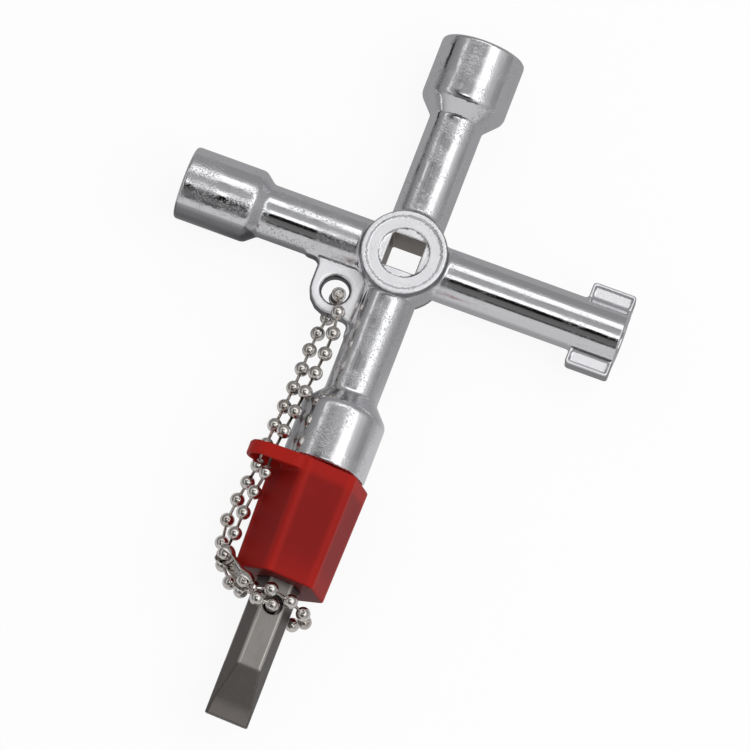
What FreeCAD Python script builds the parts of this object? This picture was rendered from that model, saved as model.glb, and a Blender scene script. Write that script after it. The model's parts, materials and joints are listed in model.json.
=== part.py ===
"""Multi utility key for cabinet locks and valves, in millimetres.

A cast cross with four key ends lies flat in the XY plane, its hub at the origin. Its lower socket holds a
plastic bit holder with a two-ended bit, and a closed loop of ball chain ties the three together.
"""
import FreeCAD, Part

import math
import os

import Sketcher

os.makedirs("parts", exist_ok=True)
doc = FreeCAD.newDocument("multi_utility_key")
Vector = FreeCAD.Vector
Rotation = FreeCAD.Rotation

# Driving dimensions: word, value, meaning
DIMENSIONS = [
    ("arm_reach", 36.8, "hub centre to the end of each arm"),
    ("neck_dia", 8.8, "round neck of every arm"),
    ("socket_dia", 13.8, "upper and lower socket outside"),
    ("socket_length", 10.0, "upper and lower socket cylinder"),
    ("socket_cone", 2.8, "length of the cone behind it"),
    ("small_socket_dia", 11.9, "left socket outside"),
    ("small_socket_length", 11.7, "left socket cylinder"),
    ("small_socket_cone", 1.9, "length of the cone behind it"),
    ("rim_round", 0.7, "rounding of the socket mouths"),
    ("hub_dia", 13.9, "round boss where the arms meet"),
    ("hub_height", 10.4, "boss from face to face"),
    ("hub_rim_width", 0.9, "raised ring round each face"),
    ("hub_rim_rise", 0.35, "ring above the flat face"),
    ("hub_rim_bevel", 0.25, "soft edges of the ring"),
    ("hub_dish_dia", 8.3, "shallow dish round the square hole"),
    ("hub_dish_depth", 0.3, "depth of the dish"),
    ("hub_square", 5.5, "square hole through the hub"),
    ("square_key", 8.0, "square hole of the upper and lower sockets"),
    ("square_depth", 10.0, "depth of the square holes"),
    ("triangle_side", 9.0, "triangle hole of the left socket"),
    ("triangle_depth", 10.5, "depth of the triangle hole"),
    ("bore_dia", 6.0, "bore of the double bit arm"),
    ("bore_depth", 15.0, "depth of that bore"),
    ("wing_span", 14.1, "across both wings of the double bit"),
    ("wing_length", 7.3, "wings along the arm"),
    ("wing_thickness", 3.2, "wings from face to face"),
    ("wing_border", 0.55, "raised border of a wing"),
    ("wing_recess", 0.35, "depth of the sunk panel"),
    ("wing_corner", 0.6, "rounding of the wings' outer corners"),
    ("wing_edge", 0.2, "bevel round the wings' faces"),
    ("lug_across", 8.3, "eye of the chain lug to the left"),
    ("lug_down", 8.6, "eye of the chain lug down"),
    ("lug_hole_dia", 4.4, "chain hole"),
    ("lug_dia", 8.2, "round end of the lug"),
    ("lug_thickness", 3.0, "lug plate"),
    ("lug_root", 1.4, "hollow rounding where the lug meets an arm"),
    ("lug_edge", 0.45, "bevel round the lug's faces and its hole"),
    ("holder_gap", 0.5, "socket mouth to the holder's shoulder"),
    ("holder_length", 19.8, "six-sided body of the holder"),
    ("holder_corner_dia", 16.5, "holder across its corners at the shoulder"),
    ("holder_draft", 1.2, "draft of the holder in degrees"),
    ("holder_round", 0.5, "rounding of the holder's edges"),
    ("plug_clearance", 0.15, "plug to the socket's square, each side"),
    ("plug_length", 9.0, "square plug of the holder"),
    ("tab_thickness", 2.0, "chain eye of the holder"),
    ("tab_reach", 8.55, "arm axis to the eye's centre, across"),
    ("tab_rise", 4.7, "arm axis to the eye's centre, up"),
    ("tab_dia", 6.5, "round end of the eye"),
    ("tab_hole_dia", 4.9, "hole of the eye"),
    ("bit_flats", 6.35, "hexagon of the bit across flats"),
    ("bit_clearance", 0.14, "bit to its seat, each side"),
    ("bit_length", 38.8, "bit from end to end"),
    ("bit_show", 22.5, "bit outside the holder"),
    ("blade_grind", 8.8, "length of the ground faces of the blade"),
    ("blade_tip", 1.2, "thickness of the blade at its tip"),
    ("blade_land", 1.9, "nearly flat end of the blade"),
    ("blade_land_thickness", 1.5, "blade where that end begins"),
    ("cross_tip_dia", 5.6, "round shank of the cross end"),
    ("cross_tip_length", 9.0, "length of the cross end"),
    ("cross_tip_cone", 4.0, "cone of the cross end"),
    ("cross_tip_flat", 1.6, "flat at the point of the cross end"),
    ("flute_length", 5.4, "flutes of the cross end"),
    ("bit_hole_dia", 3.0, "chain hole through the bit"),
    ("bit_hole_drop", 3.2, "holder's face to that hole"),
    ("ball_dia", 2.35, "ball of the chain"),
    ("ball_pitch", 3.65, "from ball to ball"),
    ("pin_dia", 0.7, "pin between two balls"),
    ("pin_play", 0.06, "pin's end to the next ball"),
    ("clip_lobe_dia", 3.3, "each cup of the chain clip"),
    ("clip_waist_dia", 1.9, "waist of the clip"),
    ("clip_cap_dia", 2.8, "end of each cup"),
    ("clip_mouth_dia", 1.3, "open end of each cup"),
    ("pin_slot_play", 0.15, "pin to the sides of its slot in the clip"),
    ("clip_sheet", 0.28, "sheet of the clip"),
    ("clip_lobe_length", 1.0, "straight part of each cup"),
    ("clip_cup_end", 1.5, "ball to the end of its cup"),
    ("clip_opening", 110.0, "open side of the clip in degrees"),
]

# Turns about the lower arm, in degrees
SOCKET_TURN = 45.0
HOLDER_TURN = 15.0
BIT_TURN = 11.0


class Size:
    """A length: a number here and an expression over the sheet's cells in the document."""

    def __init__(self, value, text):
        self.value = value
        self.text = text

    def joined(self, sign, other, value):
        text = other.text if isinstance(other, Size) else repr(float(other))
        return Size(value, f"({self.text} {sign} {text})")

    def __add__(self, other):
        return self.joined("+", other, self.value + number(other))

    def __sub__(self, other):
        return self.joined("-", other, self.value - number(other))

    def __mul__(self, other):
        return self.joined("*", other, self.value * number(other))

    def __truediv__(self, other):
        return self.joined("/", other, self.value / number(other))

    def __neg__(self):
        return self * -1


def number(size):
    return size.value if isinstance(size, Size) else float(size)


class Sizes:
    """The driving dimensions by name."""


sheet = doc.addObject("Spreadsheet::Sheet", "Sizes")
dims = Sizes()
for row, (word, value, meaning) in enumerate(DIMENSIONS, start=1):
    sheet.set(f"A{row}", word)
    sheet.set(f"B{row}", str(value))
    sheet.set(f"C{row}", meaning)
    sheet.setAlias(f"B{row}", word)
    setattr(dims, word, Size(value, f"Sizes.{word}"))
doc.recompute()


def bind(thing, name, size):
    """Gives a property its value, and its expression where it comes from the sheet."""
    setattr(thing, name, number(size))
    if isinstance(size, Size):
        thing.setExpression(name, size.text)


def new_body(label, placement=None):
    body = doc.addObject("PartDesign::Body", label)
    body.Label = label
    if placement:
        body.Placement = placement
    return body


def new_sketch(body, name, role, offset=None, turn=0.0):
    """A sketch on one of the body's own origin planes, moved along its normal by offset."""
    sketch = body.newObject("Sketcher::SketchObject", name)
    plane = next(f for f in body.Origin.OriginFeatures if f.Role == role)
    sketch.AttachmentSupport = [(plane, "")]
    sketch.MapMode = "FlatFace"
    if offset is not None:
        turned = Rotation(Vector(0, 0, 1), turn)
        sketch.AttachmentOffset = FreeCAD.Placement(Vector(0, 0, number(offset)), turned)
        if isinstance(offset, Size):
            sketch.setExpression("AttachmentOffset.Base.z", offset.text)
    return sketch


def hold(sketch, geometry, end, corner):
    """Holds a point of the sketch at its two coordinates."""
    for kind, across, size in (("DistanceX", -2, corner[0]), ("DistanceY", -1, corner[1])):
        if number(size) == 0.0:
            sketch.addConstraint(Sketcher.Constraint("PointOnObject", geometry, end, across))
            continue
        index = sketch.addConstraint(
            Sketcher.Constraint(kind, -1, 1, geometry, end, number(size))
        )
        if isinstance(size, Size):
            sketch.setExpression(f"Constraints[{index}]", size.text)


def outline(sketch, corners):
    """A closed outline of straight lines through the corners."""
    count = len(corners)
    first = sketch.GeometryCount
    points = [Vector(number(x), number(y), 0) for x, y in corners]
    for i in range(count):
        sketch.addGeometry(Part.LineSegment(points[i], points[(i + 1) % count]), False)
    for i in range(count):
        ahead = first + (i + 1) % count
        sketch.addConstraint(Sketcher.Constraint("Coincident", first + i, 2, ahead, 1))
    for i in range(count):
        hold(sketch, first + i, 1, corners[i])


def circle(sketch, centre, diameter):
    """A circle held at its centre and diameter."""
    middle = Vector(number(centre[0]), number(centre[1]), 0)
    index = sketch.addGeometry(
        Part.Circle(middle, Vector(0, 0, 1), number(diameter) / 2), False
    )
    hold(sketch, index, 3, centre)
    datum = sketch.addConstraint(
        Sketcher.Constraint("Diameter", index, number(diameter))
    )
    if isinstance(diameter, Size):
        sketch.setExpression(f"Constraints[{datum}]", diameter.text)


def square(sketch, side):
    half = side / 2
    outline(sketch, [(-half, -half), (half, -half), (half, half), (-half, half)])


def revolve(body, name, sketch, axis, angle=360.0):
    feature = body.newObject("PartDesign::Revolution", name)
    feature.Profile = sketch
    feature.ReferenceAxis = (sketch, [axis])
    bind(feature, "Angle", angle)
    sketch.Visibility = False
    return feature


def pad(body, name, sketch, length, midplane=False, reverse=False):
    feature = body.newObject("PartDesign::Pad", name)
    feature.Profile = sketch
    bind(feature, "Length", length)
    feature.SideType = "Symmetric" if midplane else "One side"
    feature.Reversed = reverse
    sketch.Visibility = False
    return feature


def pocket(body, name, sketch, depth=None, reverse=False):
    """Cuts the sketch to a depth, or right through on both sides, and checks that it cuts."""
    doc.recompute()
    before = body.Shape.Volume
    feature = body.newObject("PartDesign::Pocket", name)
    feature.Profile = sketch
    if depth is None:
        feature.Type = "ThroughAll"
        feature.SideType = "Symmetric"
    else:
        bind(feature, "Length", depth)
        feature.Reversed = reverse
    sketch.Visibility = False
    doc.recompute()
    if body.Shape.Volume > before - 1e-3:
        raise RuntimeError(f"{name} cuts nothing")
    return feature


def change_edges(body, kind, name, wanted):
    """A fillet or chamfer on the edges of the body that the wanted function picks."""
    doc.recompute()
    base = body.Tip
    names = [f"Edge{i + 1}" for i, edge in enumerate(base.Shape.Edges) if wanted(edge)]
    if not names:
        raise RuntimeError(f"{name} finds no edge")
    feature = body.newObject(f"PartDesign::{kind}", name)
    feature.Base = (base, names)
    return feature


def round_edges(body, name, radius, wanted):
    bind(change_edges(body, "Fillet", name, wanted), "Radius", radius)


def bevel_edges(body, name, size, wanted):
    bind(change_edges(body, "Chamfer", name, wanted), "Size", size)


def heights(edge):
    return [vertex.Z for vertex in edge.Vertexes]


def upright_at(x, y):
    """Picks the upright edge over a point."""
    place = Vector(number(x), number(y), 0)

    def wanted(edge):
        ends = [Vector(vertex.X, vertex.Y, 0) for vertex in edge.Vertexes]
        return len(ends) == 2 and all(end.distanceToPoint(place) < 1e-4 for end in ends)

    return wanted


def flat_outline(edge):
    """Picks the edges that lie level."""
    return max(heights(edge)) - min(heights(edge)) < 1e-4


def slanting(edge):
    """Picks the edges that climb."""
    return not flat_outline(edge)


# The cross, cast in one piece: lug, two turned arms, wings and hub, and then its holes
def cross_body():
    body = new_body("cross_body")
    reach = dims.arm_reach
    neck = dims.neck_dia / 2
    socket = dims.socket_dia / 2
    small = dims.small_socket_dia / 2

    add_lug(body)
    shoulder = reach - dims.socket_length
    waist = shoulder - dims.socket_cone
    upright = new_sketch(body, "upright_profile", "XY_Plane")
    upper_half = [(neck, waist), (socket, shoulder)] + rounded_mouth(socket, reach)
    outline(upright, upper_half + [(x, -y) for x, y in reversed(upper_half)])
    revolve(body, "upright_arms", upright, "V_Axis")

    small_shoulder = reach - dims.small_socket_length
    small_waist = small_shoulder - dims.small_socket_cone
    level = new_sketch(body, "level_profile", "XY_Plane")
    left_half = [(neck, small_waist), (small, small_shoulder)] + rounded_mouth(small, reach)
    outline(level, [(reach, 0.0), (reach, neck)] + [(-y, x) for x, y in left_half])
    revolve(body, "level_arms", level, "H_Axis")

    add_wings(body)
    add_hub(body)
    cut_key_holes(body)
    return body


def rounded_mouth(radius, reach):
    """The end of a socket's outline, its edge rounded in two steps, down to the arm's axis."""
    cut = dims.rim_round
    step = cut * (1 - math.sqrt(0.5))
    return [
        (radius, reach - cut), (radius - step, reach - step), (radius - cut, reach), (0.0, reach),
    ]


def add_lug(body):
    """Plate with one round corner, between the left and the lower arm."""
    radius = dims.lug_dia / 2
    left = dims.lug_across + radius
    low = dims.lug_down + radius
    neck = dims.neck_dia / 2
    root = dims.lug_root
    left_foot = left + root * 1.5
    low_foot = low + root * 1.5
    sketch = new_sketch(body, "lug_outline", "XY_Plane")
    outline(sketch, [
        (0.0, 0.0), (-left_foot, 0.0), (-left_foot, -neck), (-left, -neck),
        (-left, -low), (-neck, -low), (-neck, -low_foot), (0.0, -low_foot),
    ])
    pad(body, "lug", sketch, dims.lug_thickness, midplane=True)
    round_edges(body, "lug_round_end", radius, upright_at(-left, -low))
    roots = [(-left, -neck), (-neck, -low)]
    round_edges(
        body, "lug_roots", root, lambda edge: any(upright_at(x, y)(edge) for x, y in roots)
    )
    bevel_edges(body, "lug_bevel", dims.lug_edge, flat_outline)


def add_wings(body):
    """The two wings of the double bit, with a sunk panel in each of their four faces."""
    reach = dims.arm_reach
    half = dims.wing_span / 2
    start = reach - dims.wing_length
    wings = new_sketch(body, "wing_outline", "XY_Plane")
    outline(wings, [(start, -half), (reach, -half), (reach, half), (start, half)])
    pad(body, "wings", wings, dims.wing_thickness, midplane=True)
    outer = [(x, y) for x in (start, reach) for y in (-half, half)]
    round_edges(
        body, "wing_corners", dims.wing_corner,
        lambda edge: any(upright_at(x, y)(edge) for x, y in outer),
    )

    border = dims.wing_border
    edge = (dims.neck_dia + border) / 2
    for side, word in ((1, "upper"), (-1, "lower")):
        near = edge * side
        far = (half - border) * side
        panel = [
            (start + border, near), (reach - border, near),
            (reach - border, far), (start + border, far),
        ]
        for face, tag in ((1, "front"), (-1, "back")):
            level = dims.wing_thickness / 2 * face
            sketch = new_sketch(body, f"{word}_{tag}_panel", "XY_Plane", offset=level)
            outline(sketch, panel)
            name = f"{word}_{tag}_recess"
            pocket(body, name, sketch, dims.wing_recess, reverse=face < 0)


def add_hub(body):
    """Round boss with a raised ring, a flat face and a shallow dish on both sides."""
    radius = dims.hub_dia / 2
    top = dims.hub_height / 2
    ring = radius - dims.hub_rim_width
    face = top - dims.hub_rim_rise
    dish = dims.hub_dish_dia / 2
    floor = face - dims.hub_dish_depth
    bevel = dims.hub_rim_bevel
    half = [
        (0.0, floor), (dish - dims.hub_dish_depth, floor), (dish, face),
        (ring - bevel, face), (ring, top), (radius - bevel, top), (radius, top - bevel),
    ]
    sketch = new_sketch(body, "hub_profile", "XZ_Plane")
    outline(sketch, half + [(x, -y) for x, y in reversed(half)])
    revolve(body, "hub", sketch, "V_Axis")


def cut_key_holes(body):
    """Square through the hub, the sockets' key holes, the bore and the chain hole."""
    through = new_sketch(body, "hub_square", "XY_Plane")
    square(through, dims.hub_square)
    pocket(body, "hub_square_hole", through)

    eye = new_sketch(body, "lug_eye", "XY_Plane")
    circle(eye, (-dims.lug_across, -dims.lug_down), dims.lug_hole_dia)
    pocket(body, "chain_hole", eye)
    rim = number(dims.lug_hole_dia) * math.pi
    bevel_edges(
        body, "chain_hole_rim", dims.lug_edge,
        lambda edge: flat_outline(edge) and abs(edge.Length - rim) < 1e-3,
    )

    # The sketches lie at the arms' mouths, so each hole is cut inwards from there
    upper = new_sketch(body, "upper_square", "XZ_Plane", offset=-dims.arm_reach)
    square(upper, dims.square_key)
    pocket(body, "upper_socket", upper, dims.square_depth, reverse=True)

    lower = new_sketch(body, "lower_square", "XZ_Plane", dims.arm_reach, SOCKET_TURN)
    square(lower, dims.square_key)
    pocket(body, "lower_socket", lower, dims.square_depth)

    left = new_sketch(body, "left_triangle", "YZ_Plane", offset=-dims.arm_reach)
    corner = dims.triangle_side / math.sqrt(3.0)
    half = dims.triangle_side / 2
    outline(left, [(0.0, corner), (-half, -corner / 2), (half, -corner / 2)])
    pocket(body, "left_socket", left, dims.triangle_depth, reverse=True)

    right = new_sketch(body, "right_bore", "YZ_Plane", offset=dims.arm_reach)
    circle(right, (0.0, 0.0), dims.bore_dia)
    pocket(body, "double_bit_bore", right, dims.bore_depth)


# Where things lie along the lower arm
MOUTH = -number(dims.arm_reach)
SHOULDER = MOUTH - number(dims.holder_gap)
HOLDER_FACE = SHOULDER - number(dims.holder_length)
BIT_TIP = HOLDER_FACE - number(dims.bit_show)


def along_arm(level, turn):
    """Places a body whose own Z runs up the lower arm and whose front is its own minus Y."""
    upright = Rotation(Vector(1, 0, 0), -90)
    return FreeCAD.Placement(Vector(0, level, 0), upright * Rotation(Vector(0, 0, 1), turn))


def hexagon(sketch, radius):
    """A hexagon with its first corner on the sketch's X axis."""
    half = radius / 2
    flat = radius * math.cos(math.radians(30.0))
    outline(sketch, [
        (radius, 0.0), (half, flat), (-half, flat), (-radius, 0.0), (-half, -flat), (half, -flat),
    ])


# The moulded bit holder: six-sided body, square plug, chain eye and the bit's seat
def bit_holder():
    body = new_body("bit_holder", along_arm(SHOULDER, HOLDER_TURN))
    radius = dims.holder_corner_dia / 2
    section = new_sketch(body, "body_section", "XY_Plane")
    hexagon(section, radius)
    block = pad(body, "six_sided_body", section, dims.holder_length, reverse=True)
    bind(block, "TaperAngle", -dims.holder_draft)

    round_edges(body, "long_edges", dims.holder_round, slanting)

    plug = new_sketch(body, "plug_section", "XY_Plane", 0.0, SOCKET_TURN - HOLDER_TURN)
    square(plug, dims.square_key - dims.plug_clearance * 2)
    pad(body, "plug", plug, dims.plug_length)

    eye = new_sketch(body, "eye_outline", "XY_Plane", 0.0, -HOLDER_TURN)
    half = dims.tab_dia / 2
    centre = (-dims.tab_reach, -dims.tab_rise)
    outline(eye, [
        (centre[0], centre[1] - half), (0.0, centre[1] - half),
        (0.0, centre[1] + half), (centre[0], centre[1] + half),
    ])
    pad(body, "eye_plate", eye, dims.tab_thickness, reverse=True)
    tip = new_sketch(body, "eye_tip_outline", "XY_Plane", 0.0, -HOLDER_TURN)
    circle(tip, centre, dims.tab_dia)
    pad(body, "eye_tip", tip, dims.tab_thickness, reverse=True)

    hole = new_sketch(body, "eye_hole", "XY_Plane", 0.0, -HOLDER_TURN)
    circle(hole, centre, dims.tab_hole_dia)
    pocket(body, "eye_cut", hole, dims.tab_thickness)

    seat = new_sketch(body, "seat_section", "XY_Plane", -dims.holder_length)
    hexagon(seat, (dims.bit_flats / 2 + dims.bit_clearance) / math.cos(math.radians(30.0)))
    depth = dims.bit_length - dims.bit_show + dims.bit_clearance
    pocket(body, "bit_seat", seat, depth, reverse=True)
    return body


# The steel bit: hexagon, ground blade below, cross point above, chain hole across
def screwdriver_bit():
    body = new_body("screwdriver_bit", along_arm(BIT_TIP, BIT_TURN))
    radius = dims.bit_flats / 2 / math.cos(math.radians(30.0))
    shank_end = dims.bit_length - dims.cross_tip_length
    section = new_sketch(body, "bar_section", "XY_Plane")
    hexagon(section, radius)
    pad(body, "bar", section, shank_end)

    point = new_sketch(body, "point_profile", "XZ_Plane")
    round_radius = dims.cross_tip_dia / 2
    flat = dims.cross_tip_flat / 2
    cone_start = dims.bit_length - dims.cross_tip_cone
    outline(point, [
        (0.0, shank_end), (round_radius, shank_end), (round_radius, cone_start),
        (flat, dims.bit_length), (0.0, dims.bit_length),
    ])
    revolve(body, "cross_point", point, "V_Axis")

    flutes = new_sketch(body, "flute_sections", "XY_Plane", dims.bit_length, 45.0)
    near = dims.cross_tip_flat / 4
    far = dims.cross_tip_dia / 2
    for side in (1.0, -1.0):
        outline(flutes, [(near * side, near * side), (far * side, near * side),
                         (far * side, far * side), (near * side, far * side)])
        outline(flutes, [(-near * side, near * side), (-far * side, near * side),
                         (-far * side, far * side), (-near * side, far * side)])
    pocket(body, "flutes", flutes, dims.flute_length)

    for side, word in ((1.0, "back"), (-1.0, "front")):
        grind = new_sketch(body, f"{word}_grind_profile", "YZ_Plane")
        outline(grind, [
            (dims.blade_tip / 2 * side, 0.0), (dims.blade_land_thickness / 2 * side, dims.blade_land),
            (dims.bit_flats / 2 * side, dims.blade_grind),
            (dims.bit_flats * side, dims.blade_grind), (dims.bit_flats * side, 0.0),
        ])
        pocket(body, f"{word}_grind", grind)

    hole = new_sketch(body, "chain_hole_circle", "XZ_Plane")
    circle(hole, (0.0, dims.bit_show - dims.bit_hole_drop), dims.bit_hole_dia)
    pocket(body, "chain_hole_across", hole)
    return body


# Eyes and holes that the chain runs through, and the round forms that it passes
LUG_EYE = Vector(-number(dims.lug_across), -number(dims.lug_down), 0)
HOLDER_EYE = Vector(
    -number(dims.tab_reach), SHOULDER - number(dims.tab_thickness) / 2, number(dims.tab_rise)
)
BIT_HOLE = Vector(0, HOLDER_FACE - number(dims.bit_hole_drop), 0)
BIT_CORNERS = dims.bit_flats / math.cos(math.radians(30.0))
CONE_START = MOUTH + number(dims.socket_length) + number(dims.socket_cone)


def beside(form, level, turn, play):
    """A ball beside a round form of the lower arm, turned up from its left by some degrees."""
    away = number(form) / 2 + number(dims.ball_dia) / 2 + play
    lean = math.radians(turn)
    return Vector(-away * math.cos(lean), level, away * math.sin(lean))


def down_neck(share):
    """A level between the lug's eye and the lower socket."""
    return LUG_EYE.y + (CONE_START - LUG_EYE.y) * share


def down_holder(share):
    """A level between the holder's shoulder and its face."""
    return SHOULDER + (HOLDER_FACE - SHOULDER) * share


# Route of the ball chain: from the clip up to the eye and the lug, back, and round the bit to the clip
CHAIN_ROUTE = [
    beside(dims.holder_corner_dia, down_holder(0.91), 18.8, 0.5),
    beside(dims.holder_corner_dia, down_holder(0.70), 19.0, 0.1),
    beside(dims.holder_corner_dia, down_holder(0.525), 18.6, 0.0),
    beside(dims.holder_corner_dia, down_holder(0.375), 23.0, -0.2),
    HOLDER_EYE + Vector(0.85, -3.3, 0.5),
    HOLDER_EYE + Vector(0.75, -0.1, 0.8),
    beside(dims.socket_dia, MOUTH + 4.8, 36.7, 0.8),
    beside(dims.socket_dia, MOUTH + 8.5, 37.3, 0.35),
    beside(dims.socket_dia, MOUTH + 11.6, 35.7, -0.2),
    beside(dims.neck_dia, down_neck(0.6), 31.4, 1.35),
    LUG_EYE + Vector(1.7, -3.2, 3.1),
    LUG_EYE + Vector(1.0, -1.2, 2.4),
    LUG_EYE + Vector(0.5, -0.2, 0.0),
    LUG_EYE + Vector(0.3, -1.1, -2.4),
    LUG_EYE + Vector(0.1, -3.4, -3.1),
    beside(dims.neck_dia, down_neck(0.48), -9.1, 3.2),
    beside(dims.neck_dia, down_neck(0.93), 5.3, 3.2),
    beside(dims.socket_dia, MOUTH + 6.4, 15.9, 1.4),
    HOLDER_EYE + Vector(-0.85, 1.9, -0.9),
    HOLDER_EYE + Vector(-0.85, -1.6, -0.8),
    HOLDER_EYE + Vector(-1.35, -3.6, -2.4),
    beside(dims.holder_corner_dia, down_holder(0.37), -3.2, 1.3),
    beside(dims.holder_corner_dia, down_holder(0.565), -13.8, 2.3),
    beside(dims.holder_corner_dia, down_holder(0.825), -19.9, 1.75),
    beside(dims.holder_corner_dia, HOLDER_FACE - 0.3, -18.9, -0.75),
    beside(BIT_CORNERS, BIT_HOLE.y + 0.9, 7.0, 0.1),
    beside(BIT_CORNERS, BIT_HOLE.y + 1.6, 56.6, 0.1),
    beside(BIT_CORNERS, BIT_HOLE.y + 1.7, 94.4, 0.4),
    beside(BIT_CORNERS, BIT_HOLE.y + 1.0, 127.7, 0.7),
    beside(BIT_CORNERS, BIT_HOLE.y + 0.5, 159.7, 0.9),
    beside(BIT_CORNERS, BIT_HOLE.y + 0.2, 191.5, 1.2),
    beside(BIT_CORNERS, BIT_HOLE.y - 0.2, 226.3, 1.25),
    beside(BIT_CORNERS, BIT_HOLE.y - 0.2, 259.4, 1.65),
    beside(BIT_CORNERS, BIT_HOLE.y, 278.7, 0.4),
    BIT_HOLE + Vector(-0.5, 0.0, -2.6),
    BIT_HOLE + Vector(0.4, 0.0, 2.0),
    BIT_HOLE + Vector(0.5, -0.2, 3.9),
    beside(BIT_CORNERS, BIT_HOLE.y - 0.6, 71.6, 1.5),
    beside(BIT_CORNERS, BIT_HOLE.y + 1.2, 52.4, 2.9),
]
# The way the clip's folded back faces
CLIP_BACK = Vector(0.8, 0.5, 0.1)
BALL_SIDES = 10
BALL_BANDS = 5


def turned_facets(stations, sides):
    """A closed solid of flat faces round the Z axis, through rings of (height, radius)."""
    rings = []
    for height, radius in stations:
        turns = [math.tau * i / sides for i in range(sides)]
        rings.append([Vector(radius * math.cos(a), radius * math.sin(a), height) for a in turns])
    faces = [Part.Face(Part.makePolygon(ring + ring[:1])) for ring in (rings[0], rings[-1])]
    for below, above in zip(rings[:-1], rings[1:]):
        for i in range(sides):
            ahead = (i + 1) % sides
            corners = [below[i], below[ahead], above[ahead], above[i], below[i]]
            faces.append(Part.Face(Part.makePolygon(corners)))
    return Part.Solid(Part.Shell(faces))


def ball_stations(reach):
    """Rings of one ball, with the pin's end reaching out of it, or without a pin."""
    radius = number(dims.ball_dia) / 2
    pin = number(dims.pin_dia) / 2
    mouth = math.asin(pin / radius)
    sweep = math.pi - 2 * mouth
    angles = [mouth + sweep * i / BALL_BANDS for i in range(BALL_BANDS + 1)]
    stations = [(-radius * math.cos(a), radius * math.sin(a)) for a in angles]
    if reach:
        stations.append((reach, pin))
    return stations


def ball_chain():
    """Balls at equal steps along the route, each with the pin that joins it to the next."""
    route = Part.BSplineCurve()
    route.interpolate(CHAIN_ROUTE)
    line = route.toShape()
    count = round(line.Length / number(dims.ball_pitch)) + 1
    centres = line.discretize(Number=count)
    short_of = number(dims.ball_dia) / 2 + number(dims.pin_play)
    balls = []
    for i, centre in enumerate(centres):
        last = i == count - 1
        way = centre - centres[i - 1] if last else centres[i + 1] - centre
        reach = None if last else way.Length - short_of
        ball = doc.addObject("Part::Feature", f"chain_ball_{i + 1:02d}")
        ball.Label = ball.Name
        ball.Shape = turned_facets(ball_stations(reach), BALL_SIDES)
        ball.Placement = FreeCAD.Placement(centre, Rotation(Vector(0, 0, 1), way))
        balls.append(ball)
    return balls, centres


# The folded clip that holds the first and the last ball
def chain_clip(balls_inside, next_balls):
    upper, lower = balls_inside
    run = upper - lower
    side = run.cross(CLIP_BACK)
    turn = Rotation(side.cross(run), side, run, "ZXY")
    seat = FreeCAD.Placement((upper + lower) * 0.5, turn)
    body = new_body("chain_clip", seat)
    half = run.Length / 2
    lobe = dims.clip_lobe_dia / 2
    waist = dims.clip_waist_dia / 2
    mouth = dims.clip_mouth_dia / 2
    cap = dims.clip_cap_dia / 2
    sheet = dims.clip_sheet
    end = dims.clip_cup_end
    flat = dims.clip_lobe_length / 2
    outer = [
        (mouth, end + half), (cap, end + half), (lobe, flat + half),
        (lobe, -flat + half), (waist, -end + half),
    ]
    inner = [
        (mouth, end - sheet + half), (cap - sheet, end - sheet + half),
        (lobe - sheet, flat + half), (lobe - sheet, -flat + half), (waist - sheet, -end + half),
    ]
    sketch = new_sketch(body, "clip_profile", "XZ_Plane")
    below_outer = [(x, -y) for x, y in reversed(outer)]
    below_inner = [(x, -y) for x, y in inner]
    outline(sketch, outer + below_outer + below_inner + list(reversed(inner)))
    fold = revolve(body, "clip_fold", sketch, "V_Axis", -dims.clip_opening + 360.0)
    fold.Midplane = True

    # A slot in each cup lets the pin of its ball lean out towards the next ball
    for word, ball, next_ball in zip(("upper", "lower"), balls_inside, next_balls):
        slot = body.newObject("PartDesign::SubtractiveCylinder", f"{word}_pin_slot")
        slot.Placement = seat.inverse() * FreeCAD.Placement(
            ball, Rotation(Vector(0, 0, 1), next_ball - ball)
        )
        bind(slot, "Radius", dims.pin_dia / 2 + dims.pin_slot_play)
        bind(slot, "Height", dims.clip_lobe_dia)
    return body


balls, centres = ball_chain()
parts = [cross_body(), bit_holder(), screwdriver_bit()] + balls
parts.append(chain_clip((centres[0], centres[-1]), (centres[1], centres[-2])))
doc.recompute()

for item in doc.Objects:
    if "Invalid" in item.State or "Error" in item.State:
        raise RuntimeError(f"{item.Label} is {item.State}")
for part in parts:
    if part.Shape.isNull() or not part.Shape.isValid():
        raise RuntimeError(f"{part.Label} has no valid shape")
    part.Shape.exportStep(f"parts/{part.Label}.step")
    if not part.Label.startswith("chain_ball"):
        print(part.Label, round(part.Shape.Volume, 1), len(part.Shape.Solids))
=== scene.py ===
"""A multi utility key on a pale table: cast cross, plastic bit holder, steel bit and ball chain."""
import json
import math

import bpy
import bmesh
import numpy as np
from mathutils import Matrix, Vector

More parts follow.
